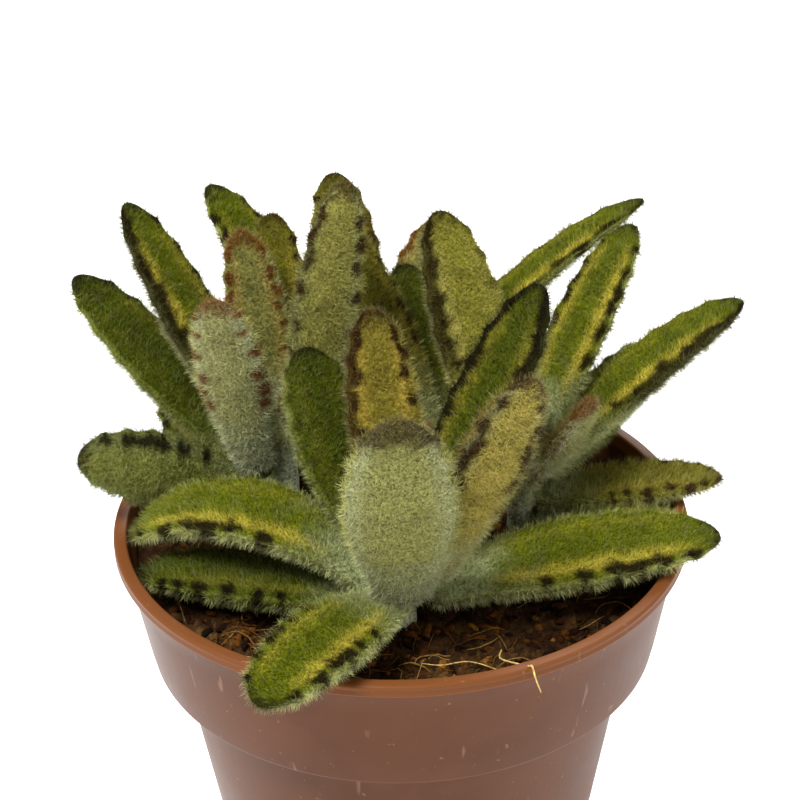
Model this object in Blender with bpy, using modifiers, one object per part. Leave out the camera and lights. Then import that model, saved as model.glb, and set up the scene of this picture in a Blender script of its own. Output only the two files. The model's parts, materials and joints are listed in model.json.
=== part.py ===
"""Panda plant (Kalanchoe tomentosa) in a round plastic nursery pot.

Five short shoots are rooted in one pot of coir soil. Each shoot carries thick, felted leaves in crossed pairs.
The leaves have dark blunt teeth along their outer edges. Metres, +Z up, origin at the middle of the pot's flat base.
The plant's front faces -Y.
"""

import math
from typing import NamedTuple

import bmesh
import bpy
from mathutils import Matrix, Vector, noise

MM = 0.001
GAP = 0.3 * MM

# Pot
POT_HEIGHT = 75 * MM
LIP_RADIUS = 42.5 * MM
LIP_HEIGHT = 1.8 * MM
LIP_OVERHANG = 1.0 * MM
WALL = 1.0 * MM
EDGE = 0.5 * MM
COLLAR_HEIGHT = 20.0 * MM
COLLAR_FOOT_RADIUS = 38.1 * MM
BODY_TOP_RADIUS = 34.4 * MM
BASE_RADIUS = 25.5 * MM
BASE_THICKNESS = 1.4 * MM
POT_SIDES = 48
DRAIN_HOLES = 6
DRAIN_HOLE_RADIUS = 3.2 * MM
DRAIN_HOLE_CIRCLE = 17.5 * MM

# Soil
SOIL_LEVEL = 69.5 * MM
SOIL_LUMP = 1.3 * MM
SOIL_LUMP_SIZE = 7.0 * MM
SOIL_RINGS = 8
SOIL_SIDES = 36

# Shoots
STEM_FOOT_RADIUS = 2.4 * MM
STEM_TOP_RADIUS = 1.7 * MM
STEM_FOOT_LEVEL = 52 * MM
STEM_SIDES = 10
CROWN_PAIRS = 2
CROWN_LEAF_LENGTH = 9.0 * MM
CROWN_LEAF_WIDTH = 4.6 * MM
CROWN_LEAF_PITCH = 76.0
CROWN_SINK = 1.0 * MM

# Leaf blades
LEAF_SIDES = 8
LEAF_STATIONS = (0, 0.035, 0.13, 0.26, 0.38, 0.48, 0.55, 0.61, 0.67, 0.73, 0.79, 0.845, 0.90, 0.945, 0.98, 1)
LEAF_NECK = 0.55
LEAF_WIDEST = 0.5
LEAF_TIP_POWER = 4.5
LEAF_THICKNESS = 0.34
UPPER_SHARE = 0.34
TOOTH_PLACES = (0.55, 0.67, 0.79, 0.90)
TOOTH_SPREAD = 0.022
TOOTH_SIZE = 0.09


class Leaf(NamedTuple):
    """One leaf. Angles are in degrees, lengths in millimetres.

    azimuth is the way the leaf points, counter-clockwise from +X seen from above, and pitch its mean rise.
    bend is how far it curls up (or droops, if negative) from base to tip, and sweep how far it turns sideways.
    twist rolls the blade about its length, fold raises its two edges into a channel, and height is where it
    joins the stem above the soil.
    """

    azimuth: float
    pitch: float
    length: float
    width: float
    height: float
    bend: float = 20
    sweep: float = 0
    twist: float = 0
    fold: float = 0.12


class Shoot(NamedTuple):
    """One rooted shoot: where its stem stands and the crown's height above the soil, in millimetres, the way its
    first pair of young leaves points, in degrees, and its grown leaves."""

    x: float
    y: float
    crown: float
    turn: float
    leaves: tuple


SHOOTS = {
    "front": Shoot(0, -20, 12, -45, (
        Leaf(azimuth=-90, pitch=74, length=35, width=15, height=7, bend=15, fold=0.05),
        Leaf(azimuth=100, pitch=58, length=33, width=10, height=11.5, bend=0),
        Leaf(azimuth=-28, pitch=67, length=38, width=10, height=9, bend=0, twist=-50),
        Leaf(azimuth=121, pitch=48, length=33, width=12, height=8.5, bend=0, sweep=-18),
        Leaf(azimuth=160, pitch=0, length=43, width=12, height=5, bend=-95, twist=-10),
        Leaf(azimuth=169, pitch=2, length=36, width=12, height=3, bend=-15),
        Leaf(azimuth=-123, pitch=4, length=32, width=13, height=5, bend=-30),
        Leaf(azimuth=10, pitch=4, length=44, width=13, height=5, bend=-12, twist=12),
        Leaf(azimuth=45, pitch=52, length=42, width=12, height=9.5, bend=0),
        Leaf(azimuth=68, pitch=12, length=25, width=9, height=3),
    )),
    "left": Shoot(-17, 5, 15, 65, (
        Leaf(azimuth=43, pitch=77, length=43, width=9.5, height=10.7, bend=-10, twist=-140),
        Leaf(azimuth=-150, pitch=80, length=30, width=10, height=12, bend=0, twist=50),
        Leaf(azimuth=110, pitch=60, length=31, width=9, height=15, bend=0),
        Leaf(azimuth=147, pitch=56, length=43, width=11, height=12, bend=0),
        Leaf(azimuth=152, pitch=39, length=42, width=13, height=8.5, bend=0),
        Leaf(azimuth=94, pitch=51, length=39, width=10, height=9.6, bend=0),
        Leaf(azimuth=192, pitch=25, length=29, width=12.5, height=4.5, bend=-22, twist=90),
        Leaf(azimuth=132, pitch=18, length=28, width=12, height=3),
    )),
    "right": Shoot(18, 4, 13, 45, (
        Leaf(azimuth=0, pitch=6, length=28, width=10, height=5, bend=-12),
        Leaf(azimuth=-29, pitch=13, length=25, width=8, height=2, bend=-5),
        Leaf(azimuth=18, pitch=35, length=40, width=11, height=9, bend=-25),
        Leaf(azimuth=44, pitch=24, length=31, width=11, height=7, bend=0),
        Leaf(azimuth=54, pitch=42, length=39, width=9.5, height=12, bend=-22),
        Leaf(azimuth=121, pitch=60, length=39, width=12.5, height=10, bend=0),
        Leaf(azimuth=-106, pitch=72, length=16, width=8, height=5.5, bend=-10),
        Leaf(azimuth=-36, pitch=59, length=17, width=8, height=11),
        Leaf(azimuth=88, pitch=24, length=32, width=12, height=3),
    )),
    "middle": Shoot(7, 9, 9, 40, (
        Leaf(azimuth=134, pitch=57, length=35, width=9, height=12, bend=0),
        Leaf(azimuth=104, pitch=46, length=30, width=10.5, height=9.4, bend=0),
    )),
    "back": Shoot(-4, 21, 12, 106, (
        Leaf(azimuth=63, pitch=50, length=34, width=11, height=7.5, bend=-5),
        Leaf(azimuth=104, pitch=55, length=36, width=11, height=12, bend=-5),
        Leaf(azimuth=144, pitch=50, length=44, width=12, height=8, bend=-15),
        Leaf(azimuth=17, pitch=41, length=57, width=9, height=3, bend=-42),
        Leaf(azimuth=106, pitch=28, length=30, width=12, height=5),
        Leaf(azimuth=158, pitch=23, length=28, width=12, height=3),
        Leaf(azimuth=44, pitch=18, length=30, width=10, height=2),
    )),
}


def clear_scene():
    for old in list(bpy.data.objects):
        bpy.data.objects.remove(old, do_unlink=True)


def collection(name):
    made = bpy.data.collections.new(name)
    bpy.context.scene.collection.children.link(made)
    return made


def material(name, colour, roughness):
    made = bpy.data.materials.new(name)
    made.use_nodes = True
    shader = made.node_tree.nodes["Principled BSDF"]
    shader.inputs["Base Color"].default_value = (*colour, 1)
    shader.inputs["Roughness"].default_value = roughness
    shader.inputs["Metallic"].default_value = 0
    return made


def add_object(name, mesh, into, finish=None):
    made = bpy.data.objects.new(name, mesh)
    into.objects.link(made)
    if finish:
        mesh.materials.append(finish)
    return made


def mesh_from(bm, name):
    mesh = bpy.data.meshes.new(name)
    bm.to_mesh(mesh)
    bm.free()
    return mesh


def smooth(mesh, angle=50):
    mesh.shade_smooth()
    mesh.set_sharp_from_angle(angle=math.radians(angle))


def applied(obj):
    """The object with its modifiers worked into its mesh."""
    graph = bpy.context.evaluated_depsgraph_get()
    mesh = bpy.data.meshes.new_from_object(obj.evaluated_get(graph))
    obj.modifiers.clear()
    obj.data = mesh
    return obj


def boolean(obj, other, operation):
    """Cuts or joins with a collection, works the result in, and removes the collection's objects."""
    modifier = obj.modifiers.new(operation.title(), "BOOLEAN")
    modifier.operation = operation
    modifier.operand_type = "COLLECTION"
    modifier.collection = other
    modifier.solver = "EXACT"
    applied(obj)
    for used in list(other.objects):
        bpy.data.objects.remove(used, do_unlink=True)


def turned(name, profile, sides, into, finish):
    """A profile of (radius, height) points, down its outer side first, turned about Z."""
    mesh = bpy.data.meshes.new(name)
    points = [(radius, 0, height) for radius, height in profile]
    mesh.from_pydata(points, [(i, i + 1) for i in range(len(points) - 1)], [])
    made = add_object(name, mesh, into, finish)
    screw = made.modifiers.new("Screw", "SCREW")
    screw.steps = screw.render_steps = sides
    screw.use_merge_vertices = True
    screw.merge_threshold = 0.00001
    return applied(made)


def pot_radius(height):
    """The pot wall's outer radius at a height, without its lip."""
    step = POT_HEIGHT - COLLAR_HEIGHT
    if height > step:
        share = (height - step) / COLLAR_HEIGHT
        return COLLAR_FOOT_RADIUS + share * (LIP_RADIUS - LIP_OVERHANG - COLLAR_FOOT_RADIUS)
    return BASE_RADIUS + height / step * (BODY_TOP_RADIUS - BASE_RADIUS)


def inner_wall():
    """(radius, height) points of the pot's inside, from its floor's edge up to its lip."""
    step = POT_HEIGHT - COLLAR_HEIGHT
    return [
        (BASE_RADIUS - WALL, BASE_THICKNESS),
        (BODY_TOP_RADIUS - WALL, step + WALL - EDGE),
        (COLLAR_FOOT_RADIUS - WALL, step + WALL + EDGE),
        (LIP_RADIUS - LIP_OVERHANG - WALL, POT_HEIGHT),
    ]


def pot(into, cutters, plastic):
    """A thin-walled pot: rolled lip, tapered collar, step and tapered body, with drain holes in its base."""
    step = POT_HEIGHT - COLLAR_HEIGHT
    under_lip = POT_HEIGHT - LIP_HEIGHT
    profile = [
        (LIP_RADIUS - LIP_OVERHANG - WALL, POT_HEIGHT),
        (LIP_RADIUS - EDGE, POT_HEIGHT),
        (LIP_RADIUS, POT_HEIGHT - EDGE),
        (LIP_RADIUS, under_lip + EDGE),
        (LIP_RADIUS - EDGE, under_lip),
        (LIP_RADIUS - LIP_OVERHANG, under_lip),
        (COLLAR_FOOT_RADIUS, step + EDGE),
        (COLLAR_FOOT_RADIUS - EDGE, step),
        (BODY_TOP_RADIUS, step - EDGE),
        (BASE_RADIUS + EDGE, EDGE),
        (BASE_RADIUS, 0),
        (0, 0),
        (0, BASE_THICKNESS),
    ] + inner_wall()
    made = turned("pot", profile, POT_SIDES, into, plastic)
    for i in range(DRAIN_HOLES):
        turn = 2 * math.pi * i / DRAIN_HOLES
        bm = bmesh.new()
        bmesh.ops.create_cone(
            bm, cap_ends=True, segments=12, radius1=DRAIN_HOLE_RADIUS, radius2=DRAIN_HOLE_RADIUS, depth=4 * BASE_THICKNESS,
            matrix=Matrix.Translation((DRAIN_HOLE_CIRCLE * math.cos(turn), DRAIN_HOLE_CIRCLE * math.sin(turn), 0)),
        )
        add_object(f"drain_cutter_{i}", mesh_from(bm, "drain_cutter"), cutters)
    boolean(made, cutters, "DIFFERENCE")
    smooth(made.data, 30)
    return made


def soil_height(x, y):
    """The height of the lumpy soil surface at a place."""
    here = Vector((x, y, 0)) / SOIL_LUMP_SIZE
    return SOIL_LEVEL + SOIL_LUMP * noise.fractal(here, 0.8, 2.0, 3)


def soil(into, cutters, coir):
    """Soil that fills the pot to just under its lip, with a plain hole for each stem."""
    rim = pot_radius(SOIL_LEVEL) - WALL - 2 * GAP
    profile = [(rim * i / SOIL_RINGS, SOIL_LEVEL) for i in range(SOIL_RINGS + 1)]
    profile += [(radius - 1.5 * GAP, height + GAP) for radius, height in inner_wall()[-2::-1]]
    profile += [(0, BASE_THICKNESS + GAP)]
    made = turned("soil", profile, SOIL_SIDES, into, coir)
    for vertex in made.data.vertices:
        if vertex.co.z > SOIL_LEVEL - SOIL_LUMP:
            vertex.co.z = soil_height(vertex.co.x, vertex.co.y)
    for name, shoot in SHOOTS.items():
        radius = STEM_FOOT_RADIUS + GAP
        bm = bmesh.new()
        bmesh.ops.create_cone(
            bm, cap_ends=True, segments=STEM_SIDES, radius1=radius, radius2=radius, depth=40 * MM,
            matrix=Matrix.Translation((shoot.x * MM, shoot.y * MM, STEM_FOOT_LEVEL - GAP + 20 * MM)),
        )
        add_object(f"stem_hole_cutter_{name}", mesh_from(bm, "stem_hole_cutter"), cutters)
    boolean(made, cutters, "DIFFERENCE")
    smooth(made.data, 80)
    return made


def half_width(leaf, s):
    """Half the blade's width at a share s of its length, teeth included."""
    grown = min(1, s / LEAF_WIDEST)
    shape = LEAF_NECK + (1 - LEAF_NECK) * grown * grown * (3 - 2 * grown)
    shape *= math.sqrt(max(0, 1 - s**LEAF_TIP_POWER)) * math.sqrt(min(1, s / 0.05))
    teeth = sum(math.exp(-(((s - place) / TOOTH_SPREAD) ** 2)) for place in TOOTH_PLACES)
    return leaf.width * MM / 2 * (shape + TOOTH_SIZE * teeth)


def half_thickness(leaf, s):
    """Half the blade's thickness at a share s of its length."""
    taper = math.sqrt(max(0, 1 - s**LEAF_TIP_POWER)) * math.sqrt(min(1, s / 0.05))
    return leaf.width * MM * LEAF_THICKNESS / 2 * (0.75 + 0.25 * math.sin(math.pi * s)) * taper


def centreline(leaf, start, s):
    """The point and the direction of the blade's middle at a share s of its length."""
    steps = 24
    point = Vector(start)
    direction = Vector((1, 0, 0))
    for i in range(steps + 1):
        here = s * i / steps
        turn = math.radians(leaf.azimuth + leaf.sweep * (here - 0.5))
        rise = math.radians(leaf.pitch + leaf.bend * (here - 0.5))
        direction = Vector((math.cos(turn) * math.cos(rise), math.sin(turn) * math.cos(rise), math.sin(rise)))
        if i < steps:
            point += direction * (leaf.length * MM * s / steps)
    return point, direction


def leaf_point(leaf, start, s, angle):
    """A point of the blade's skin: angle runs round the section, with 0 and pi at its two edges."""
    point, along = centreline(leaf, start, s)
    turn = math.radians(leaf.azimuth + leaf.sweep * (s - 0.5))
    side = Matrix.Rotation(math.radians(leaf.twist), 3, along) @ Vector((math.sin(turn), -math.cos(turn), 0))
    normal = along.cross(side).normalized() * -1
    across = half_width(leaf, s) * math.cos(angle)
    share = UPPER_SHARE if math.sin(angle) > 0 else 1 - UPPER_SHARE
    above = 2 * share * half_thickness(leaf, s) * math.sin(angle) + leaf.fold * abs(across)
    return point + side * across + normal * above


def seat(shoot, leaf):
    """Where a leaf's root meets its stem, clear of it by the gap."""
    turn = math.radians(leaf.azimuth + leaf.sweep * -0.5)
    rise = math.radians(leaf.pitch - leaf.bend / 2)
    level = SOIL_LEVEL + leaf.height * MM
    twist = math.radians(leaf.twist)
    upper = 2 * UPPER_SHARE * half_thickness(leaf, 0.1)
    depth = upper * abs(math.cos(twist)) + half_width(leaf, 0.1) * abs(math.sin(twist))
    away = stem_radius(shoot, level) + GAP + depth * abs(math.sin(rise))
    return Vector((shoot.x * MM + away * math.cos(turn), shoot.y * MM + away * math.sin(turn), level))


def leaf_mesh(name, leaf, start, sides=LEAF_SIDES, stations=LEAF_STATIONS):
    """A ball whose rings are moved to stations along the leaf, from its root to its tip."""
    rings = len(stations) - 1
    bm = bmesh.new()
    bmesh.ops.create_uvsphere(bm, u_segments=sides, v_segments=rings, radius=1)
    for vertex in bm.verts:
        down = math.acos(max(-1, min(1, vertex.co.z))) / math.pi
        s = stations[round(down * rings)]
        vertex.co = leaf_point(leaf, start, s, math.atan2(vertex.co.y, vertex.co.x))
    mesh = mesh_from(bm, name)
    smooth(mesh, 80)
    return mesh


def stem_radius(shoot, level):
    top = SOIL_LEVEL + shoot.crown * MM
    share = (level - STEM_FOOT_LEVEL) / (top - STEM_FOOT_LEVEL)
    return STEM_FOOT_RADIUS + (STEM_TOP_RADIUS - STEM_FOOT_RADIUS) * max(0, min(1, share))


def stem(name, shoot, into, buds, flesh):
    """A short stem with its crown of young leaf pairs grown into one piece."""
    top = SOIL_LEVEL + shoot.crown * MM
    tall = top - STEM_FOOT_LEVEL
    bm = bmesh.new()
    bmesh.ops.create_cone(
        bm, cap_ends=True, segments=STEM_SIDES, radius1=STEM_FOOT_RADIUS, radius2=STEM_TOP_RADIUS, depth=tall,
        matrix=Matrix.Translation((shoot.x * MM, shoot.y * MM, STEM_FOOT_LEVEL + tall / 2)),
    )
    made = add_object(f"stem_{name}", mesh_from(bm, "stem"), into, flesh)
    for pair in range(CROWN_PAIRS):
        size = 1 - 0.35 * pair
        for side in range(2):
            bud = Leaf(
                azimuth=shoot.turn + 90 * pair + 180 * side, pitch=CROWN_LEAF_PITCH + 6 * pair, length=size * CROWN_LEAF_LENGTH / MM,
                width=size * CROWN_LEAF_WIDTH / MM, height=shoot.crown, bend=14,
            )
            turn = math.radians(bud.azimuth)
            out = STEM_TOP_RADIUS * (0.6 - 0.3 * pair)
            start = Vector((shoot.x * MM + out * math.cos(turn), shoot.y * MM + out * math.sin(turn), top - CROWN_SINK))
            mesh = leaf_mesh("bud", bud, start, 6, LEAF_STATIONS[::3])
            add_object(f"bud_{name}_{pair}_{side}", mesh, buds)
    boolean(made, buds, "UNION")
    smooth(made.data, 80)
    return made


def build():
    clear_scene()
    plant = collection("panda_plant")
    cutters = collection("cutters")
    buds = collection("buds")
    plastic = material("pot_plastic", (0.30, 0.13, 0.08), 0.42)
    coir = material("coir_soil", (0.055, 0.028, 0.012), 0.95)
    flesh = material("felted_stem", (0.30, 0.36, 0.22), 0.85)
    blade = material("felted_leaf", (0.20, 0.27, 0.06), 0.8)
    pot(plant, cutters, plastic)
    soil(plant, cutters, coir)
    for name, shoot in SHOOTS.items():
        stem(name, shoot, plant, buds, flesh)
        for number, leaf in enumerate(shoot.leaves, 1):
            mesh = leaf_mesh("leaf", leaf, seat(shoot, leaf))
            add_object(f"leaf_{name}_{number:02d}", mesh, plant, blade)


build()
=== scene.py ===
"""Panda plant (Kalanchoe tomentosa) in a round plastic nursery pot: the dressed model.

Every leaf is a fine solid blade under a felt of short hairs, set where its rigid solid is. Metres, +Z up,
origin at the middle of the pot's flat base. The plant's front faces -Y.
"""

import json
import math
from typing import NamedTuple

import bmesh
import bpy
import numpy as np
from mathutils import Matrix, Vector, noise

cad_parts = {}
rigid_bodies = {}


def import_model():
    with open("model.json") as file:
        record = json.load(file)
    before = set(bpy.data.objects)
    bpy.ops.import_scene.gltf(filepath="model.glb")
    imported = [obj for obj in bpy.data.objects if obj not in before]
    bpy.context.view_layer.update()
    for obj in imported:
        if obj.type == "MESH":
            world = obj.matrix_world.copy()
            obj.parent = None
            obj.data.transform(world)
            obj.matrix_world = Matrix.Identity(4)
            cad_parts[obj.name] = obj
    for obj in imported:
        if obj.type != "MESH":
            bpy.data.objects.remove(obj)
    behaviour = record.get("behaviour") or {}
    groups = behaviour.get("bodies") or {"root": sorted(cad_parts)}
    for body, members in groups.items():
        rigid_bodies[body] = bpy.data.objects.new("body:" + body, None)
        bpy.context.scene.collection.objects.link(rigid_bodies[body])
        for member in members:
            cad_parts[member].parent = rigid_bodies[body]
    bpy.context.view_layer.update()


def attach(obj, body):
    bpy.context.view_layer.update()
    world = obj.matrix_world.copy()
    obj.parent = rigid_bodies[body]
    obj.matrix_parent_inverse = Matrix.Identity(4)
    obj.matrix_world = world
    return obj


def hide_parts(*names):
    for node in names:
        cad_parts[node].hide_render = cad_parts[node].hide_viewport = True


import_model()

MM = 0.001
GAP = 0.3 * MM
SEED = 7

# Pot
POT_HEIGHT = 75 * MM
LIP_RADIUS = 42.5 * MM
LIP_HEIGHT = 1.8 * MM
LIP_OVERHANG = 1.0 * MM
WALL = 1.0 * MM
EDGE = 0.5 * MM
COLLAR_HEIGHT = 20.0 * MM
COLLAR_FOOT_RADIUS = 38.1 * MM
BODY_TOP_RADIUS = 34.4 * MM
BASE_RADIUS = 25.5 * MM
BASE_THICKNESS = 1.4 * MM
POT_SIDES = 180
CORNER_STEPS = 4
DRAIN_HOLES = 6
DRAIN_HOLE_RADIUS = 3.2 * MM
DRAIN_HOLE_CIRCLE = 17.5 * MM

# Soil
SOIL_LEVEL = 69.5 * MM
SOIL_LUMP = 1.3 * MM
SOIL_LUMP_SIZE = 7.0 * MM
SOIL_RINGS = 90
SOIL_SIDES = 200
SOIL_EDGE = 38.5 * MM
CRUMBS = 1100
CRUMB_KINDS = 6
CRUMB_REACH = 37.5 * MM
FIBRES = 650
FIBRE_REACH = 37 * MM
FIBRE_STEP = 0.9 * MM
ROOT_STEPS = 6

# Shoots
STEM_FOOT_RADIUS = 2.4 * MM
STEM_TOP_RADIUS = 1.7 * MM
STEM_FOOT_LEVEL = 52 * MM
STALK_RINGS = 12
STALK_SIDES = 20
CROWN_PAIRS = 2
CROWN_LEAF_LENGTH = 9.0
CROWN_LEAF_WIDTH = 4.6
CROWN_LEAF_PITCH = 76.0
CROWN_SINK = 1.0 * MM

# Leaf blades
BLADE_SIDES = 28
BLADE_STATIONS = 72
LEAF_NECK = 0.55
LEAF_WIDEST = 0.5
LEAF_TIP_POWER = 4.5
LEAF_THICKNESS = 0.34
UPPER_SHARE = 0.34
TOOTH_PLACES = (0.55, 0.67, 0.79, 0.90)
TOOTH_SPREAD = 0.022
TOOTH_SIZE = 0.09
ROUTE_MARKS = 121
ROUTE_STEPS = 24

# Leaf blotches, as shares of the leaf's length or of half its width
SPOTS = 6
FIRST_SPOT = 0.40
SPOT_STEP = 0.098
SPOT_INSET = 0.90
SPOT_DEPTH = 0.17
LINE_FROM = 0.28

# Felt
HAIRS_PER_AREA = 24 / MM**2
HAIR_LENGTH = 1.25 * MM
HAIR_WIDTH = 0.075 * MM
HAIR_TRIES = 40000
MOST_HAIRS = 15000
FIRST_HAIR = 0.02
LAST_HAIR = 0.998
BRIGHT_HAIRS = 0.42
SKIN = 0
HAIR = 1

# Studio
CAMERA_ELEVATION = 29.5
CAMERA_DISTANCE = 300 * MM
CAMERA_AIM = Vector((0.24, 0, 94.2)) * MM
CAMERA_ROLL = 1.16
CAMERA_LENS = 93.7
FLOOR_REACH = 3.0


def tone(red, green, blue):
    """A linear colour from the 0 to 255 values that a screen shows."""
    return tuple((value / 255) ** 2.2 for value in (red, green, blue))


HAIR_TIP = tone(250, 242, 186)


class Look(NamedTuple):
    """The colours of one kind of leaf: upper and under face, base, the band near its edge, and blotches."""

    upper: tuple
    under: tuple
    base: tuple
    band: tuple
    blotch: tuple


LOOKS = {
    "green": Look(
        upper=tone(98, 106, 12), under=tone(176, 178, 112), base=tone(184, 192, 140),
        band=tone(206, 188, 70), blotch=tone(32, 20, 6),
    ),
    # This look is the green one darkened by about a fifth throughout: painted shade for leaves that lie in
    # shadow.
    "shaded_green": Look(
        upper=tone(76, 84, 8), under=tone(134, 138, 68), base=tone(146, 156, 104),
        band=tone(140, 132, 46), blotch=tone(26, 16, 5),
    ),
    "golden": Look(
        upper=tone(138, 126, 46), under=tone(174, 160, 80), base=tone(190, 194, 144),
        band=tone(184, 160, 66), blotch=tone(48, 22, 7),
    ),
    "lime": Look(
        upper=tone(146, 142, 56), under=tone(170, 164, 88), base=tone(190, 194, 144),
        band=tone(186, 176, 92), blotch=tone(34, 18, 6),
    ),
    "olive": Look(
        upper=tone(114, 110, 32), under=tone(150, 146, 74), base=tone(170, 176, 122),
        band=tone(166, 150, 60), blotch=tone(52, 30, 10),
    ),
    "pale": Look(
        upper=tone(158, 158, 84), under=tone(164, 164, 98), base=tone(188, 194, 156),
        band=tone(166, 160, 90), blotch=tone(58, 38, 14),
    ),
    "young": Look(
        upper=tone(142, 140, 74), under=tone(168, 168, 112), base=tone(196, 202, 164),
        band=tone(176, 154, 82), blotch=tone(110, 64, 22),
    ),
}


class Leaf(NamedTuple):
    """One leaf. Angles are in degrees, lengths in millimetres.

    azimuth is the way the leaf points, counter-clockwise from +X seen from above, and pitch its mean rise.
    bend is how far it curls up from base to tip, or droops if negative, and sweep how far it turns sideways.
    twist rolls the blade about its length, fold raises its two edges into a channel, and height is where it
    joins the stem above the soil. look names its colours. left and right say how heavily its two edges are
    blotched, seen from above with the tip away, and under how strongly the blotches show on its under face.
    tip is the share of the length where its tip darkens.
    """

    azimuth: float
    pitch: float
    length: float
    width: float
    height: float
    bend: float = 20
    sweep: float = 0
    twist: float = 0
    fold: float = 0.12
    look: str = "green"
    left: float = 0.7
    right: float = 0.7
    under: float = 0
    tip: float = 0.94


class Shoot(NamedTuple):
    """One rooted shoot and its grown leaves.

    x, y and crown are where its stem stands and the crown's height above the soil, in millimetres, and turn
    is the way that its first pair of young leaves points, in degrees.
    """

    x: float
    y: float
    crown: float
    turn: float
    leaves: tuple


SHOOTS = {
    "front": Shoot(0, -20, 12, -45, (
        Leaf(azimuth=-90, pitch=74, length=35, width=15, height=7, bend=15, fold=0.05,
             look="pale", left=0.1, right=0.1, tip=0.89),
        Leaf(azimuth=100, pitch=58, length=33, width=10, height=11.5, bend=0,
             look="golden", left=1.3, right=0.9, tip=0.92),
        Leaf(azimuth=-28, pitch=67, length=38, width=10, height=9, bend=0, twist=-50,
             look="golden", left=0.8, right=1.1, under=1),
        Leaf(azimuth=121, pitch=48, length=33, width=12, height=8.5, bend=0, sweep=-18,
             look="shaded_green", left=0.15, right=0.15),
        Leaf(azimuth=160, pitch=0, length=43, width=12, height=5, bend=-95, twist=-10, left=0.7, right=0.1),
        Leaf(azimuth=169, pitch=2, length=36, width=12, height=3, bend=-15, look="shaded_green", left=0.4, right=0.1),
        Leaf(azimuth=-123, pitch=4, length=32, width=13, height=5, bend=-30, left=0.7, right=0.3),
        Leaf(azimuth=10, pitch=4, length=44, width=13, height=5, bend=-12, twist=12, left=0.1, right=0.8),
        Leaf(azimuth=45, pitch=52, length=42, width=12, height=9.5, bend=0, look="shaded_green", left=1.3, right=1.3),
        Leaf(azimuth=68, pitch=12, length=25, width=9, height=3),
    )),
    "left": Shoot(-17, 5, 15, 65, (
        Leaf(azimuth=43, pitch=77, length=43, width=9.5, height=10.7, bend=-10, twist=-140,
             look="olive", left=0.3, right=1.0, under=0.9),
        Leaf(azimuth=-150, pitch=80, length=30, width=10, height=12, bend=0, twist=50,
             look="young", left=0.5, right=0.5, under=0.8, tip=0.92),
        Leaf(azimuth=110, pitch=60, length=31, width=9, height=15, bend=0,
             look="young", left=0.9, right=0.9, tip=0.9),
        Leaf(azimuth=147, pitch=56, length=43, width=11, height=12, bend=0, left=1.3, right=0.3),
        Leaf(azimuth=152, pitch=39, length=42, width=13, height=8.5, bend=0,
             look="shaded_green", left=0.1, right=0.3),
        Leaf(azimuth=94, pitch=51, length=39, width=10, height=9.6, bend=0,
             look="olive", left=0.4, right=0.6),
        Leaf(azimuth=192, pitch=25, length=29, width=12.5, height=4.5, bend=-22, twist=90,
             look="shaded_green", left=1.0, right=0.1, under=1),
        Leaf(azimuth=132, pitch=18, length=28, width=12, height=3),
    )),
    "right": Shoot(18, 4, 13, 45, (
        Leaf(azimuth=0, pitch=6, length=28, width=10, height=5, bend=-12, look="olive", left=0.3, right=0.5),
        Leaf(azimuth=-29, pitch=13, length=25, width=8, height=2, bend=-5, left=0.3),
        Leaf(azimuth=18, pitch=35, length=40, width=11, height=9, bend=-25, left=0.1, right=1.3),
        Leaf(azimuth=44, pitch=24, length=31, width=11, height=7, bend=0, look="shaded_green"),
        Leaf(azimuth=54, pitch=42, length=39, width=9.5, height=12, bend=-22, left=0.5, right=0.8),
        Leaf(azimuth=121, pitch=60, length=39, width=12.5, height=10, bend=0,
             look="lime", left=1.4, right=0.2),
        Leaf(azimuth=-106, pitch=72, length=16, width=8, height=5.5, bend=-10, look="young",
             under=0.6, tip=0.88),
        Leaf(azimuth=-36, pitch=59, length=17, width=8, height=11,
             look="young", left=1.0, right=1.0, tip=0.86),
        Leaf(azimuth=88, pitch=24, length=32, width=12, height=3),
    )),
    "middle": Shoot(7, 9, 9, 40, (
        Leaf(azimuth=134, pitch=57, length=35, width=9, height=12, bend=0,
             look="olive", left=0.5, right=0.5, tip=0.9),
        Leaf(azimuth=104, pitch=46, length=30, width=10.5, height=9.4, bend=0,
             look="shaded_green", left=0.9, right=0.9),
    )),
    "back": Shoot(-4, 21, 12, 106, (
        Leaf(azimuth=63, pitch=50, length=34, width=11, height=7.5, bend=-5,
             look="young", left=1.0, right=1.0),
        Leaf(azimuth=104, pitch=55, length=36, width=11, height=12, bend=-5,
             look="olive", left=0.4, right=1.1),
        Leaf(azimuth=144, pitch=50, length=44, width=12, height=8, bend=-15, left=0.3, right=0.3),
        Leaf(azimuth=17, pitch=41, length=57, width=9, height=3, bend=-42, left=0.2, right=1.0),
        Leaf(azimuth=106, pitch=28, length=30, width=12, height=5),
        Leaf(azimuth=158, pitch=23, length=28, width=12, height=3),
        Leaf(azimuth=44, pitch=18, length=30, width=10, height=2),
    )),
}


def add_piece(name, mesh, finishes):
    """A new piece of the plant, riding with its one body."""
    made = bpy.data.objects.new(name, mesh)
    bpy.context.scene.collection.objects.link(made)
    for finish in finishes:
        mesh.materials.append(finish)
    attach(made, "root")
    return made


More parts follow.
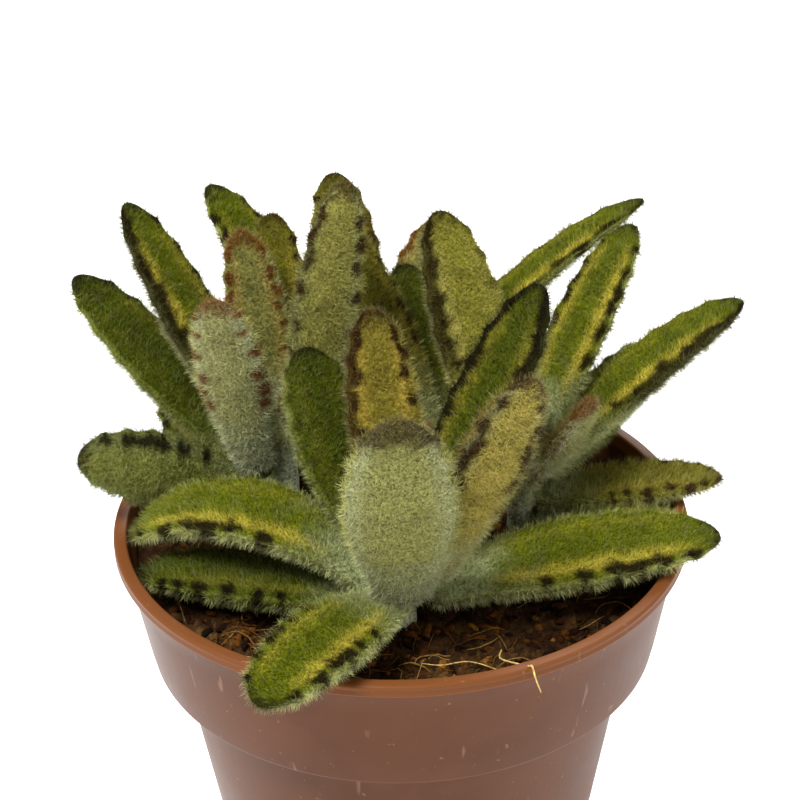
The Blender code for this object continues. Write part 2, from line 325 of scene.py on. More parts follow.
def mesh_of(name, parts):
    """A smooth mesh from parts of (points, faces, tints, material number).

    Within one part, every face has as many corners as the others.
    """
    base = 0
    corners, sizes, finish = [], [], []
    for points, faces, tints, number in parts:
        corners.append(np.ravel(faces) + base)
        sizes.append(np.full(len(faces), faces.shape[1]))
        finish.append(np.full(len(faces), number))
        base += len(points)
    corners, sizes, finish = np.concatenate(corners), np.concatenate(sizes), np.concatenate(finish)
    tints = np.concatenate([part[2] for part in parts])
    mesh = bpy.data.meshes.new(name)
    mesh.vertices.add(base)
    mesh.vertices.foreach_set("co", np.concatenate([part[0] for part in parts]).ravel())
    mesh.loops.add(len(corners))
    mesh.loops.foreach_set("vertex_index", corners)
    mesh.polygons.add(len(sizes))
    mesh.polygons.foreach_set("loop_start", np.cumsum(sizes) - sizes)
    mesh.polygons.foreach_set("material_index", finish)
    mesh.update(calc_edges=True)
    tint = mesh.color_attributes.new("tint", "FLOAT_COLOR", "POINT")
    tint.data.foreach_set("color", np.column_stack((tints, np.ones(len(tints)))).ravel())
    mesh.shade_smooth()
    return mesh


# Leaf shape

def half_width(leaf, s):
    """Half the blade's width at shares s of its length, teeth included."""
    grown = np.minimum(1, s / LEAF_WIDEST)
    shape = LEAF_NECK + (1 - LEAF_NECK) * grown * grown * (3 - 2 * grown)
    shape = shape * taper(s)
    teeth = sum(np.exp(-(((s - place) / TOOTH_SPREAD) ** 2)) for place in TOOTH_PLACES)
    return leaf.width * MM / 2 * (shape + TOOTH_SIZE * teeth)


def taper(s):
    """How the blade closes at its root and at its tip."""
    return np.sqrt(np.maximum(0, 1 - s**LEAF_TIP_POWER)) * np.sqrt(np.minimum(1, s / 0.05))


def half_thickness(leaf, s):
    """Half the blade's thickness at shares s of its length."""
    return leaf.width * MM * LEAF_THICKNESS / 2 * (0.75 + 0.25 * np.sin(math.pi * s)) * taper(s)


def heading(leaf, s):
    """The blade's direction at shares s of its length, and its turn about Z."""
    turn = np.radians(leaf.azimuth + leaf.sweep * (s - 0.5))
    rise = np.radians(leaf.pitch + leaf.bend * (s - 0.5))
    along = np.stack((np.cos(turn) * np.cos(rise), np.sin(turn) * np.cos(rise), np.sin(rise)), -1)
    return along, turn


def leaf_point(leaf, start, s, angle):
    """Points of the blade's skin: angle runs round the section, with 0 and pi at its two edges."""
    marks = np.linspace(0, 1, ROUTE_MARKS)
    steps = marks[:, None] * np.arange(ROUTE_STEPS) / ROUTE_STEPS
    route = heading(leaf, steps)[0].mean(1) * (leaf.length * MM * marks)[:, None]
    travelled = np.stack([np.interp(s, marks, route[:, axis]) for axis in range(3)], -1)
    along, turn = heading(leaf, s)
    flat = np.stack((np.sin(turn), -np.cos(turn), np.zeros_like(turn)), -1)
    twist = math.radians(leaf.twist)
    side = flat * math.cos(twist) + np.cross(along, flat) * math.sin(twist)
    normal = -np.cross(along, side)
    across = half_width(leaf, s) * np.cos(angle)
    share = np.where(np.sin(angle) > 0, UPPER_SHARE, 1 - UPPER_SHARE)
    above = 2 * share * half_thickness(leaf, s) * np.sin(angle) + leaf.fold * np.abs(across)
    return np.array(start) + travelled + side * across[:, None] + normal * above[:, None]


def stem_radius(shoot, level):
    """The stem's radius at a level, from its foot in the soil to its crown."""
    top = SOIL_LEVEL + shoot.crown * MM
    share = (level - STEM_FOOT_LEVEL) / (top - STEM_FOOT_LEVEL)
    return STEM_FOOT_RADIUS + (STEM_TOP_RADIUS - STEM_FOOT_RADIUS) * max(0, min(1, share))


def seat(shoot, leaf):
    """Where a leaf's root meets its stem."""
    turn = math.radians(leaf.azimuth + leaf.sweep * -0.5)
    rise = math.radians(leaf.pitch - leaf.bend / 2)
    level = SOIL_LEVEL + leaf.height * MM
    twist = math.radians(leaf.twist)
    upper = 2 * UPPER_SHARE * float(half_thickness(leaf, np.float64(0.1)))
    edge = float(half_width(leaf, np.float64(0.1)))
    depth = upper * abs(math.cos(twist)) + edge * abs(math.sin(twist))
    away = stem_radius(shoot, level) + GAP + depth * abs(math.sin(rise))
    return (shoot.x * MM + away * math.cos(turn), shoot.y * MM + away * math.sin(turn), level)


# Leaf colour

def mixed(first, second, share):
    """Colours between the first ones and a second, by a share for each."""
    share = np.clip(share, 0, 1)[:, None]
    return first * (1 - share) + np.array(second) * share


def ramp(values, low, high):
    """A smooth rise from 0 at low to 1 at high."""
    share = np.clip((values - low) / (high - low), 0, 1)
    return share * share * (3 - 2 * share)


def wobble(leaf, s, angle, size):
    """A slow, repeatable unevenness between -1 and 1 over one leaf."""
    phase = leaf.azimuth * 0.37 + leaf.pitch * 1.3
    return (
        np.sin(s * 23 * size + phase + 2 * np.sin(angle + phase))
        + np.sin(s * 41 * size - phase * 2 + 3 * np.cos(angle))
        + np.sin(s * 67 * size + phase * 3 + 5 * np.cos(angle * 2))
    ) / 3


def leaf_tint(leaf, s, angle):
    """The felt's colour at places on one leaf."""
    look = LOOKS[leaf.look]
    across = np.cos(angle)
    up = np.sin(angle)
    face = mixed(np.tile(look.under, (len(s), 1)), look.upper, ramp(up, -0.35, 0.1))
    uneven = wobble(leaf, s, angle, 1.0)
    face = face * (1 + 0.16 * uneven)[:, None]
    ridge = np.exp(-(((np.abs(across) - 0.6 + 0.04 * uneven) / 0.17) ** 2))
    band = ridge * ramp(up, -0.1, 0.15) * ramp(s, 0.12, 0.35) * (1 - ramp(s, 0.75, 0.95))
    heavy = np.where(across > 0, leaf.right, leaf.left)
    face = mixed(face, look.band, band * (0.8 + 0.2 * uneven) * np.minimum(1, 0.05 + 1.2 * heavy))
    face = mixed(face, look.base, (1 - ramp(s + 0.07 * uneven, 0.03, 0.4)) * 0.85)
    face = mixed(face, look.base, 0.55 * ramp(np.abs(across), 0.45, 1.0) * ramp(-up, 0.0, 0.5))
    # Painted highlight: the very edge of the blade is lightened towards a brighter copy of the under colour,
    # for light catching the margin.
    face = mixed(face, np.array(look.under) * 1.15, 0.45 * ramp(np.abs(across), 0.9, 0.99))
    ragged = wobble(leaf, s, 3 * angle, 4.0)
    spots = np.zeros_like(s)
    for i in range(SPOTS):
        place = FIRST_SPOT + SPOT_STEP * i + 0.022 * math.sin(leaf.azimuth + 5 * i)
        reach = (0.018 + 0.017 * heavy) * (1 + 0.5 * math.sin(leaf.pitch * 3 + 7 * i))
        inset = SPOT_INSET - 0.10 * heavy + 0.05 * math.sin(leaf.length * 5 + 3 * i)
        away = ((s - place) / reach) ** 2 + ((np.abs(across) + 0.06 * ragged - inset) / SPOT_DEPTH) ** 2
        spots = np.maximum(spots, 1 - ramp(away, 0.35, 1.5))
    line = ramp(heavy, 0.8, 1.3) * ramp(np.abs(across) + 0.1 * ragged, 0.64, 0.82) * ramp(s, LINE_FROM, 0.5)
    shown = np.maximum(ramp(up, -0.75, -0.3), leaf.under)
    dark = np.maximum(spots * 1.2, line * 0.85) * ramp(heavy, 0.05, 0.35) * shown
    face = mixed(face, look.blotch, np.minimum(dark, 0.94))
    tip = ramp(s + 0.025 * uneven + 0.03 * ragged + 0.03 * np.abs(across), leaf.tip - 0.02, leaf.tip + 0.07)
    return np.clip(mixed(face, look.blotch, tip * 0.85), 0.002, 1)


# Felted blades

def tube_faces(rings, sides):
    """The faces between rings of points, each ring after the one before."""
    low = (np.arange(rings - 1)[:, None] * sides + np.arange(sides)).ravel()
    after = low - low % sides + (low + 1) % sides
    return np.stack((low, after, after + sides, low + sides), -1)


def blade_skin(leaf, start):
    """Points, faces and tints of the blade under its felt."""
    stations = 0.5 - 0.5 * np.cos(np.linspace(0, math.pi, BLADE_STATIONS))
    s = np.repeat(stations, BLADE_SIDES)
    angle = np.tile(np.linspace(0, 2 * math.pi, BLADE_SIDES, endpoint=False), BLADE_STATIONS)
    faces = tube_faces(BLADE_STATIONS, BLADE_SIDES)[:, ::-1]
    return leaf_point(leaf, start, s, angle), faces, leaf_tint(leaf, s, angle), SKIN


def felt(leaf, start, rng):
    """Points, faces and tints of the blade's hairs: thin slivers that lean towards its tip."""
    step = 0.002
    s = rng.uniform(FIRST_HAIR, LAST_HAIR, HAIR_TRIES)
    angle = rng.uniform(0, 2 * math.pi, HAIR_TRIES)
    root = leaf_point(leaf, start, s, angle)
    ahead = leaf_point(leaf, start, np.minimum(s + step, 1), angle)
    forward = ahead - leaf_point(leaf, start, s - step, angle)
    around = leaf_point(leaf, start, s, angle + step) - leaf_point(leaf, start, s, angle - step)
    normal = np.cross(forward, around)
    spread = np.linalg.norm(normal, axis=1)
    area = spread.mean() / (2 * step) ** 2 * (LAST_HAIR - FIRST_HAIR) * 2 * math.pi
    count = int(min(MOST_HAIRS, area * HAIRS_PER_AREA))
    chosen = rng.choice(HAIR_TRIES, count, p=spread / spread.sum())
    s, angle, root = s[chosen], angle[chosen], root[chosen]
    normal = normal[chosen] / spread[chosen][:, None]
    forward = forward[chosen] / np.linalg.norm(forward[chosen], axis=1)[:, None]
    across = np.cross(normal, forward)
    lean = np.radians(rng.normal(34, 17, count))[:, None]
    splay = np.radians(rng.normal(0, 55, count))[:, None]
    hair = normal * np.cos(lean) + (forward * np.cos(splay) + across * np.sin(splay)) * np.sin(lean)
    length = HAIR_LENGTH * rng.uniform(0.55, 1.25, count)[:, None]
    width = HAIR_WIDTH * rng.uniform(0.7, 1.2, count)[:, None]
    roll = np.radians(rng.uniform(-60, 60, count))[:, None]
    flat = np.cross(hair, normal)
    flat /= np.linalg.norm(flat, axis=1)[:, None] + 1e-9
    flat = flat * np.cos(roll) + np.cross(hair, flat) * np.sin(roll)
    half = flat * width / 2
    points = np.stack((root - half, root + half, root + hair * length), 1).reshape(-1, 3)
    faces = np.arange(3 * count).reshape(-1, 3)
    skin = leaf_tint(leaf, s, angle)
    bright = rng.uniform(0, 1, count) < BRIGHT_HAIRS
    paleness = np.clip(skin[:, 2] / skin.max(1), 0, 1)
    share = np.where(bright, 0.2 + 0.5 * paleness, 0.03) * ramp(skin[:, 0], 0.0, 0.08)
    tip = mixed(skin * 1.35, HAIR_TIP, share)
    # The two root corners of each hair are darkened to 0.8 of the leaf's colour: painted shade low in the
    # felt.
    tints = np.stack((skin * 0.8, skin * 0.8, tip), 1).reshape(-1, 3)
    return points, faces, tints, HAIR


def felted_leaf(name, node, leaf, start, rng, finishes):
    """One grown leaf: its blade and its hairs in one piece."""
    mesh = mesh_of(name, [blade_skin(leaf, start), felt(leaf, start, rng)])
    made = add_piece(name, mesh, finishes)
    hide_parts(node)


def crown(shoot):
    """The young leaf pairs at the top of a stem, each with the place of its root."""
    top = SOIL_LEVEL + shoot.crown * MM
    for pair in range(CROWN_PAIRS):
        size = 1 - 0.35 * pair
        for side in range(2):
            bud = Leaf(
                azimuth=shoot.turn + 90 * pair + 180 * side, pitch=CROWN_LEAF_PITCH + 6 * pair,
                length=size * CROWN_LEAF_LENGTH, width=size * CROWN_LEAF_WIDTH,
                height=shoot.crown, bend=14, look="young",
            )
            turn = math.radians(bud.azimuth)
            out = STEM_TOP_RADIUS * (0.6 - 0.3 * pair)
            x = shoot.x * MM + out * math.cos(turn)
            y = shoot.y * MM + out * math.sin(turn)
            yield bud, (x, y, top - CROWN_SINK)


def felted_stem(name, shoot, rng, finishes):
    """A short stem and its crown of felted young leaves."""
    parts = [stalk_skin(shoot)]
    for bud, start in crown(shoot):
        parts += [blade_skin(bud, start), felt(bud, start, rng)]
    made = add_piece(f"felted_stem_{name}", mesh_of(name, parts), finishes)
    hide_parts(f"stem_{name}")


def stalk_skin(shoot):
    """Points, faces and tints of the stem, which its crown and the soil close."""
    level = np.repeat(np.linspace(STEM_FOOT_LEVEL, SOIL_LEVEL + shoot.crown * MM, STALK_RINGS), STALK_SIDES)
    turn = np.tile(np.linspace(0, 2 * math.pi, STALK_SIDES, endpoint=False), STALK_RINGS)
    uneven = 1 + 0.04 * np.sin(3 * turn + level * 900)
    radius = np.array([stem_radius(shoot, height) for height in level]) * uneven
    points = np.stack((shoot.x * MM + radius * np.cos(turn), shoot.y * MM + radius * np.sin(turn), level), -1)
    return points, tube_faces(STALK_RINGS, STALK_SIDES), np.tile(LOOKS["young"].base, (len(points), 1)), SKIN


# Pot

def turned(name, profile, sides):
    """A closed mesh of a profile of (radius, height) points, down its outer side first, turned about Z."""
    bm = bmesh.new()
    rings = []
    for radius, height in profile:
        if radius == 0:
            rings.append([bm.verts.new((0, 0, height))])
            continue
        turns = [2 * math.pi * i / sides for i in range(sides)]
        rings.append([bm.verts.new((radius * math.cos(t), radius * math.sin(t), height)) for t in turns])
    for upper, lower in zip(rings, rings[1:] + rings[:1]):
        if len(upper) == len(lower) == 1:
            continue
        for i in range(sides):
            j = (i + 1) % sides
            corners = [ring[k % len(ring)] for ring, k in ((upper, i), (lower, i), (lower, j), (upper, j))]
            bm.faces.new(list(dict.fromkeys(corners)))
    mesh = bpy.data.meshes.new(name)
    bm.to_mesh(mesh)
    bm.free()
    return mesh


def corner(radius, height, size, first, last):
    """Points of a rounded corner about a centre, from one direction to another in degrees."""
    for i in range(CORNER_STEPS + 1):
        turn = math.radians(first + (last - first) * i / CORNER_STEPS)
        yield radius + size * math.cos(turn), height + size * math.sin(turn)


def pot_profile():
    """The pot's section: a rolled lip with a groove, a tapered collar, its step and the body."""
    step = POT_HEIGHT - COLLAR_HEIGHT
    under_lip = POT_HEIGHT - LIP_HEIGHT
    inside = LIP_RADIUS - LIP_OVERHANG - WALL
    roll = 0.45 * MM
    groove = LIP_RADIUS - 0.16 * MM
    profile = list(corner(LIP_RADIUS - roll, POT_HEIGHT - roll, roll, 100, 0))
    profile += [(groove, POT_HEIGHT - 0.45 * LIP_HEIGHT), (groove, POT_HEIGHT - 0.6 * LIP_HEIGHT)]
    profile += list(corner(LIP_RADIUS - 0.3 * MM, under_lip + 0.3 * MM, 0.3 * MM, 0, -90))
    profile += list(corner(LIP_RADIUS - LIP_OVERHANG + 0.25 * MM, under_lip - 0.25 * MM, 0.25 * MM, 90, 180))
    for i in range(1, 8):
        height = under_lip + (step + EDGE - under_lip) * i / 8
        profile.append((collar_radius(height), height))
    profile += list(corner(COLLAR_FOOT_RADIUS - EDGE, step + EDGE, EDGE, 0, -90))
    profile += list(corner(BODY_TOP_RADIUS + EDGE, step - EDGE, EDGE, 90, 180))
    for i in range(1, 12):
        height = (step - EDGE) * (1 - i / 12)
        profile.append((BASE_RADIUS + height / step * (BODY_TOP_RADIUS - BASE_RADIUS), height))
    profile += list(corner(BASE_RADIUS - EDGE, EDGE, EDGE, 0, -90))
    profile += [(0, 0), (0, BASE_THICKNESS)]
    profile += inner_wall()[:-1]
    profile += list(corner(inside + roll, POT_HEIGHT - roll, roll, 180, 100))
    return profile


def collar_radius(height):
    """The radius of the collar's outer side at a height."""
    share = (height - POT_HEIGHT + COLLAR_HEIGHT) / COLLAR_HEIGHT
    return COLLAR_FOOT_RADIUS + share * (LIP_RADIUS - LIP_OVERHANG - COLLAR_FOOT_RADIUS)


def inner_wall():
    """(radius, height) points of the pot's inside, from its floor's edge up to its lip."""
    step = POT_HEIGHT - COLLAR_HEIGHT
    return [
        (BASE_RADIUS - WALL, BASE_THICKNESS),
        (BODY_TOP_RADIUS - WALL, step + WALL - EDGE),
        (COLLAR_FOOT_RADIUS - WALL, step + WALL + EDGE),
        (LIP_RADIUS - LIP_OVERHANG - WALL, POT_HEIGHT),
    ]


def pot(plastic):
    """The nursery pot, with drain holes through its base."""
    mesh = turned("nursery_pot", pot_profile(), POT_SIDES)
    made = add_piece("nursery_pot", mesh, [plastic])
    cutters = bpy.data.collections.new("cutters")
    for i in range(DRAIN_HOLES):
        turn = 2 * math.pi * i / DRAIN_HOLES
        place = Vector((DRAIN_HOLE_CIRCLE * math.cos(turn), DRAIN_HOLE_CIRCLE * math.sin(turn), 0))
        bm = bmesh.new()
        bmesh.ops.create_cone(
            bm, cap_ends=True, segments=32, radius1=DRAIN_HOLE_RADIUS, radius2=DRAIN_HOLE_RADIUS,
            depth=4 * BASE_THICKNESS, matrix=Matrix.Translation(place),
        )
        cutter = bpy.data.meshes.new("drain_cutter")
        bm.to_mesh(cutter)
        bm.free()
        cutters.objects.link(bpy.data.objects.new(f"drain_cutter_{i}", cutter))
    modifier = made.modifiers.new("Drain holes", "BOOLEAN")
    modifier.operand_type = "COLLECTION"
    modifier.collection = cutters
    modifier.solver = "EXACT"
    graph = bpy.context.evaluated_depsgraph_get()
    made.data = bpy.data.meshes.new_from_object(made.evaluated_get(graph))
    made.modifiers.clear()
    for cutter in list(cutters.objects):
        bpy.data.objects.remove(cutter, do_unlink=True)
    bpy.data.collections.remove(cutters)
    made.data.shade_smooth()
    made.data.set_sharp_from_angle(angle=math.radians(40))
    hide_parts("pot")


# Soil

def soil_height(x, y):
    """The height of the lumpy soil surface at a place."""
    here = Vector((x, y, 0)) / SOIL_LUMP_SIZE
    return SOIL_LEVEL + SOIL_LUMP * noise.fractal(here, 0.8, 2.0, 3)


def soil(coir):
    """The coir mix, with a rough fibrous surface."""
    rim = collar_radius(SOIL_LEVEL) - WALL - 0.5 * GAP
    profile = [(0, SOIL_LEVEL)] + [(rim * i / SOIL_RINGS, SOIL_LEVEL) for i in range(1, SOIL_RINGS + 1)]
    profile += [(radius - 1.5 * GAP, height + GAP) for radius, height in inner_wall()[-2::-1]]
    profile += [(0, BASE_THICKNESS + GAP)]
    mesh = turned("coir_bed", profile, SOIL_SIDES)
    for vertex in mesh.vertices:
        if vertex.co.z > SOIL_LEVEL - SOIL_LUMP:
            x, y = vertex.co.x, vertex.co.y
            rough = noise.fractal(Vector((x, y, 0)) / (1.6 * MM), 0.7, 2.1, 3)
            vertex.co.z = soil_height(x, y) + 0.55 * MM * rough
    mesh.shade_smooth()
    made = add_piece("coir_bed", mesh, [coir])
    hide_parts("soil")


def on_soil(rng, reach):
    """A random place on the soil, inside a radius."""
    radius = reach * math.sqrt(rng.uniform(0, 1))
    turn = rng.uniform(0, 2 * math.pi)
    x = radius * math.cos(turn)
    y = radius * math.sin(turn)
    return Vector((x, y, soil_height(x, y)))


def crumbs(rng, finish):
    """Broken bits of coir husk and peat that lie on the soil."""
    parts = []
    shapes = []
    for kind in range(CRUMB_KINDS):
        bm = bmesh.new()
        bmesh.ops.create_icosphere(bm, subdivisions=2, radius=1)
        for vertex in bm.verts:
            vertex.co *= 1 + 0.5 * noise.noise(vertex.co * 1.6 + Vector((kind * 7.0, 0, 0)))
        bm.verts.index_update()
        faces = np.array([[vertex.index for vertex in face.verts] for face in bm.faces])
        shapes.append((np.array([vertex.co[:] for vertex in bm.verts]), faces))
        bm.free()
    browns = [tone(84, 52, 20), tone(52, 30, 12), tone(112, 76, 32), tone(34, 19, 8), tone(94, 56, 22)]
    for i in range(CRUMBS):
        points, faces = shapes[int(rng.integers(len(shapes)))]
        size = MM * float(rng.uniform(0.25, 0.75))
        long = float(rng.uniform(1.0, 2.6))
        turn = Matrix.Rotation(float(rng.uniform(0, 2 * math.pi)), 3, "Z")
        tilt = Matrix.Rotation(float(rng.normal(0, 0.35)), 3, "Y")
        place = on_soil(rng, CRUMB_REACH)
        turned_by = np.array((turn @ tilt).transposed())
        moved = points * (size * long, size, size * 0.7) @ turned_by + np.array(place)
        colour = np.array(browns[int(rng.integers(len(browns)))]) * rng.uniform(0.6, 1.3)
        parts.append((moved, faces, np.tile(colour, (len(moved), 1)), 0))
    add_piece("coir_crumbs", mesh_of("coir_crumbs", parts), [finish])


def strand(path, radius, colour, sides=4):
    """Points, faces and tints of a thin round strand along a path, tapered at both ends."""
    points = []
    last = len(path) - 1
    for i, place in enumerate(path):
        along = (path[min(i + 1, last)] - path[max(i - 1, 0)]).normalized()
        side = along.cross(Vector((0.3, 0.2, 1))).normalized()
        up = side.cross(along)
        thick = radius * (0.35 + 0.65 * math.sin(math.pi * (0.1 + 0.8 * i / last)))
        for k in range(sides):
            turn = 2 * math.pi * k / sides
            points.append(place + (side * math.cos(turn) + up * math.sin(turn)) * thick)
    return np.array(points), tube_faces(len(path), sides), np.tile(colour, (len(points), 1)), 0


def fibres(rng, finish):
    """Loose coir threads on the soil."""
    straws = [tone(150, 108, 54), tone(112, 72, 30), tone(84, 52, 20), tone(176, 138, 80), tone(62, 36, 15)]
    parts = []
    for i in range(FIBRES):
        here = on_soil(rng, FIBRE_REACH)
        turn = float(rng.uniform(0, 2 * math.pi))
        curl = float(rng.normal(0, 0.22))
        steps = int(rng.integers(4, 9))
        lift = float(rng.uniform(0.0, 0.6)) * MM
        path = []
        for k in range(steps):
            arch = lift * math.sin(math.pi * k / (steps - 1))
            path.append(Vector((here.x, here.y, soil_height(here.x, here.y) + 0.25 * MM + arch)))
            turn += curl + float(rng.normal(0, 0.12))
            here += Vector((math.cos(turn), math.sin(turn), 0)) * FIBRE_STEP
            if here.xy.length > SOIL_EDGE:
                break
        if len(path) > 3:
            colour = np.array(straws[int(rng.integers(len(straws)))]) * rng.uniform(0.45, 0.95)
            parts.append(strand(path, MM * float(rng.uniform(0.05, 0.13)), colour))
    add_piece("coir_fibres", mesh_of("coir_fibres", parts), [finish])


def smoothed(places):
    """A smooth path through a few places."""
    path = []
    for i in range(len(places) - 1):
        before = places[max(i - 1, 0)]
        after = places[min(i + 2, len(places) - 1)]
        for k in range(ROOT_STEPS):
            t = k / ROOT_STEPS
            first, last = places[i], places[i + 1]
            path.append(0.5 * (
                2 * first + (last - before) * t + (2 * before - 5 * first + 4 * last - after) * t * t
                + (3 * first - 3 * last + after - before) * t**3
            ))
    return path + [places[-1]]


def roots(finish):
    """Pale root strands: one hangs over the lip at the front right, and thinner ones lie on the soil."""
    straw = tone(214, 182, 112)
    # Each strand's radius and route in millimetres.
    routes = [
        (0.15, [(13.5, -29, 70.8), (13.2, -32, 71.6), (15.4, -35.5, 73.2), (16.6, -38.4, 75.0),
                (17.0, -39.0, 75.4), (17.4, -40.0, 74.2), (18.2, -39.6, 71.5)]),
        (0.08, [(2, -31, 70.4), (5, -33, 71.4), (9, -32.6, 71.6), (13, -35, 71.8)]),
        (0.08, [(-19, -30, 70.8), (-21, -31, 72.0), (-23, -32.4, 72.6), (-24, -33.4, 72.8)]),
    ]
    parts = []
    for radius, route in routes:
        path = smoothed([Vector(place) * MM for place in route])
        parts.append(strand(path, radius * MM, straw, 6))
    add_piece("root_strands", mesh_of("root_strands", parts), [finish])


# Materials

class Nodes:
    """Short ways to add and join the nodes of one material."""

    def __init__(self, name):
        self.material = bpy.data.materials.new(name)
        self.material.use_nodes = True
        self.tree = self.material.node_tree
        self.shader = self.tree.nodes["Principled BSDF"]

    def add(self, kind, **inputs):
        node = self.tree.nodes.new(kind)
        for name, value in inputs.items():
            node.inputs[name.replace("_", " ")].default_value = value
        return node

    def join(self, source, target):
        self.tree.links.new(source, target)

    def place(self, stretch=(1, 1, 1)):
        """Object coordinates, stretched."""
        here = self.add("ShaderNodeTexCoord")
        mapping = self.add("ShaderNodeMapping", Scale=stretch)
        self.join(here.outputs["Object"], mapping.inputs["Vector"])
        return mapping.outputs["Vector"]

    def noise(self, scale, detail=4.0, roughness=0.6, stretch=(1, 1, 1)):
        made = self.add("ShaderNodeTexNoise", Scale=scale, Detail=detail, Roughness=roughness)
        self.join(self.place(stretch), made.inputs["Vector"])
        return made.outputs["Fac"]

    def range(self, value, low, high, to_low=0.0, to_high=1.0):
        made = self.add("ShaderNodeMapRange")
        made.inputs["From Min"].default_value = low
        made.inputs["From Max"].default_value = high
        made.inputs["To Min"].default_value = to_low
        made.inputs["To Max"].default_value = to_high
        self.join(value, made.inputs["Value"])
        return made.outputs["Result"]

    def mix(self, first, second, share, blend="MIX"):
        """Mixes two colours; each may be a colour or another node's output."""
        made = self.tree.nodes.new("ShaderNodeMix")
        made.data_type = "RGBA"
        made.blend_type = blend
        for socket, value in ((made.inputs[6], first), (made.inputs[7], second), (made.inputs[0], share)):
            if isinstance(value, bpy.types.NodeSocket):
                self.join(value, socket)
            elif isinstance(value, tuple):
                socket.default_value = (*value, 1)
            else:
                socket.default_value = value
        return made.outputs[2]

    def colour(self, value):
        self.join(value, self.shader.inputs["Base Color"])

    def bump(self, height, distance, strength=1.0):
        made = self.add("ShaderNodeBump", Strength=strength, Distance=distance)
        self.join(height, made.inputs["Height"])
        self.join(made.outputs["Normal"], self.shader.inputs["Normal"])

    def set(self, **values):
        for name, value in values.items():
            self.shader.inputs[name.replace("_", " ")].default_value = value


def tinted(nodes):
    """The colour that is stored at each point of a mesh."""
    made = nodes.add("ShaderNodeAttribute")
    made.attribute_name = "tint"
    return made.outputs["Color"]


def leaf_skin():
    """The leaf under its felt: the leaf's own colour in a fine, dense nap, darkened in fine flecks as painted
    shade between the hairs.
    """
    nodes = Nodes("leaf_skin")
    fine = nodes.noise(2600, 3, 0.7)
    # Painted shade: a fine noise darkens the leaf's colour to about a fifth, standing in for shadow between
    # the hairs.
    shade = nodes.mix((0.22, 0.22, 0.2), (1.0, 1.0, 1.0), nodes.range(fine, 0.35, 0.65))
    nodes.colour(nodes.mix(tinted(nodes), shade, 1.0, "MULTIPLY"))
    nodes.bump(fine, 0.2 * MM, 0.8)
    nodes.set(Roughness=0.9, Specular_IOR_Level=0.05)
    return nodes.material


def leaf_hair():
    """One kind of fine, slightly shiny hair that takes its colour from the leaf."""
    nodes = Nodes("leaf_hair")
    nodes.colour(tinted(nodes))
    nodes.set(Roughness=0.6, Specular_IOR_Level=0.1)
    return nodes.material


def pot_plastic():
    """Matt brown plastic with a dusty bloom and pale scuffs, and its lip painted lighter and warmer as
    painted light where light falls on it.
    """
    nodes = Nodes("pot_plastic_worn")
    cloud = nodes.noise(60, 5, 0.6)
    speck = nodes.noise(900, 2, 0.5)
    brown = nodes.mix((0.084, 0.029, 0.011), (0.108, 0.039, 0.016), nodes.range(cloud, 0.35, 0.65))
    here = nodes.add("ShaderNodeTexCoord")
    split = nodes.add("ShaderNodeSeparateXYZ")
    nodes.join(here.outputs["Object"], split.inputs["Vector"])
    # Painted light: from just under the lip to the top, the brown turns lighter and warmer for the lip where
    # light falls on it.
    rim = nodes.range(split.outputs["Z"], POT_HEIGHT - LIP_HEIGHT - 0.4 * MM, POT_HEIGHT - LIP_HEIGHT)
    brown = nodes.mix(brown, (0.155, 0.052, 0.015), rim)
    brown = nodes.mix(brown, (0.30, 0.17, 0.10), nodes.range(speck, 0.70, 0.76, 0, 0.4))
    scratch = nodes.noise(500, 2, 0.5, (1, 1, 0.12))
    brown = nodes.mix(brown, (0.32, 0.19, 0.12), nodes.range(scratch, 0.70, 0.76, 0, 0.35))
    nodes.colour(brown)
    nodes.join(nodes.range(cloud, 0.3, 0.7, 0.33, 0.45), nodes.shader.inputs["Roughness"])
    nodes.bump(nodes.noise(700, 3, 0.6, (1, 1, 0.4)), 0.04 * MM, 0.5)
    nodes.set(Specular_IOR_Level=0.1)
    return nodes.material


def coir_soil():
    """Dark peat and coir: brown lumps and short threads, darkened to near black in the hollows between the
    lumps as painted shade.
    """
    nodes = Nodes("coir_mix")
    lumps_and_hollow_shade = nodes.noise(420, 6, 0.65)
    threads = nodes.noise(900, 3, 0.6, (1, 0.22, 1))
    # Painted shade: the same noise that raises the lumps darkens the soil to near black where it sinks into
    # hollows.
    brown = nodes.mix((0.008, 0.004, 0.002), (0.062, 0.028, 0.009), nodes.range(lumps_and_hollow_shade, 0.35, 0.65))
    nodes.colour(nodes.mix(brown, (0.13, 0.07, 0.024), nodes.range(threads, 0.56, 0.68, 0, 0.6)))
    nodes.bump(lumps_and_hollow_shade, 0.9 * MM, 0.9)
    nodes.set(Roughness=0.95, Specular_IOR_Level=0.05)
    return nodes.material


def coir_bits():
    """Bits and threads of coir, each in its own brown."""
    nodes = Nodes("coir_bits")
    grain = nodes.noise(1800, 4, 0.65, (1, 1, 0.5))
    shade = nodes.mix((0.45, 0.42, 0.4), (1.2, 1.2, 1.2), nodes.range(grain, 0.35, 0.65))
    nodes.colour(nodes.mix(tinted(nodes), shade, 1.0, "MULTIPLY"))
    nodes.bump(grain, 0.15 * MM, 0.8)
    nodes.set(Roughness=0.85, Specular_IOR_Level=0.08)
    return nodes.material


# Studio

def camera():
    """The camera at the height and distance that the pot's rim shows."""
    lens = bpy.data.cameras.new("camera")
    lens.lens = CAMERA_LENS
    lens.sensor_width = 36
    lens.clip_start = 0.01
    made = bpy.data.objects.new("camera", lens)
    bpy.context.scene.collection.objects.link(made)
    rise = math.radians(CAMERA_ELEVATION)
    back = Vector((0, -math.cos(rise), math.sin(rise)))
    made.location = CAMERA_AIM + back * CAMERA_DISTANCE
    level = (-back).to_track_quat("-Z", "Y").to_matrix()
    turn = level @ Matrix.Rotation(math.radians(-CAMERA_ROLL), 3, "Z")
    made.rotation_euler = turn.to_euler()
    bpy.context.scene.camera = made


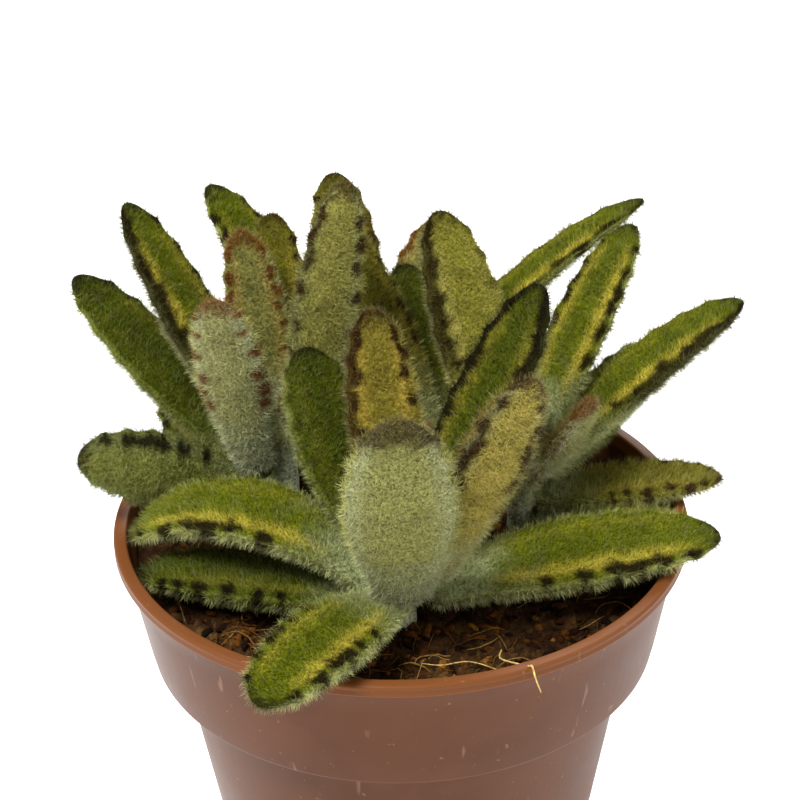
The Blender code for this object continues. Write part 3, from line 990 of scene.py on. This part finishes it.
def floor():
    """A plain white studio floor."""
    mesh = bpy.data.meshes.new("floor")
    corners = [(FLOOR_REACH * x, FLOOR_REACH * y, 0) for x, y in ((-1, -1), (1, -1), (1, 1), (-1, 1))]
    mesh.from_pydata(corners, [], [(0, 1, 2, 3)])
    made = bpy.data.objects.new("floor", mesh)
    bpy.context.scene.collection.objects.link(made)
    nodes = Nodes("studio_floor")
    nodes.set(Base_Color=(0.9, 0.9, 0.9, 1), Roughness=0.9, Specular_IOR_Level=0.1)
    nodes.set(Emission_Color=(1, 1, 1, 1), Emission_Strength=0.6)
    mesh.materials.append(nodes.material)


def lamp(name, place, size, power):
    """A soft square light that points at the plant."""
    light = bpy.data.lights.new(name, "AREA")
    light.size = size
    light.energy = power
    made = bpy.data.objects.new(name, light)
    bpy.context.scene.collection.objects.link(made)
    made.location = place
    aim = Vector((0, 0, 0.08)) - made.location
    made.rotation_euler = aim.to_track_quat("-Z", "Y").to_euler()


def studio():
    """An even white world, three soft lights and the floor."""
    world = bpy.data.worlds.new("studio")
    world.use_nodes = True
    sky = world.node_tree.nodes["Background"]
    sky.inputs["Color"].default_value = (1, 1, 1, 1)
    sky.inputs["Strength"].default_value = 0.32
    bpy.context.scene.world = world
    bpy.context.scene.view_settings.view_transform = "Standard"
    lamp("key_light", (-0.35, -0.25, 0.9), 0.4, 13.5)
    lamp("side_light", (0.75, -0.25, 0.4), 0.5, 3)
    lamp("back_light", (0.2, 0.7, 0.6), 0.5, 5)
    floor()


def build():
    """The camera, the studio and every piece, drawn in a fixed order from one seed."""
    rng = np.random.default_rng(SEED)
    camera()
    studio()
    pot(pot_plastic())
    soil(coir_soil())
    bits = coir_bits()
    crumbs(rng, bits)
    fibres(rng, bits)
    roots(bits)
    felted = [leaf_skin(), leaf_hair()]
    for name, shoot in SHOOTS.items():
        felted_stem(name, shoot, rng, felted)
        for number, leaf in enumerate(shoot.leaves, 1):
            start = seat(shoot, leaf)
            felted_leaf(f"blade_{name}_{number:02d}", f"leaf_{name}_{number:02d}", leaf, start, rng, felted)


build()
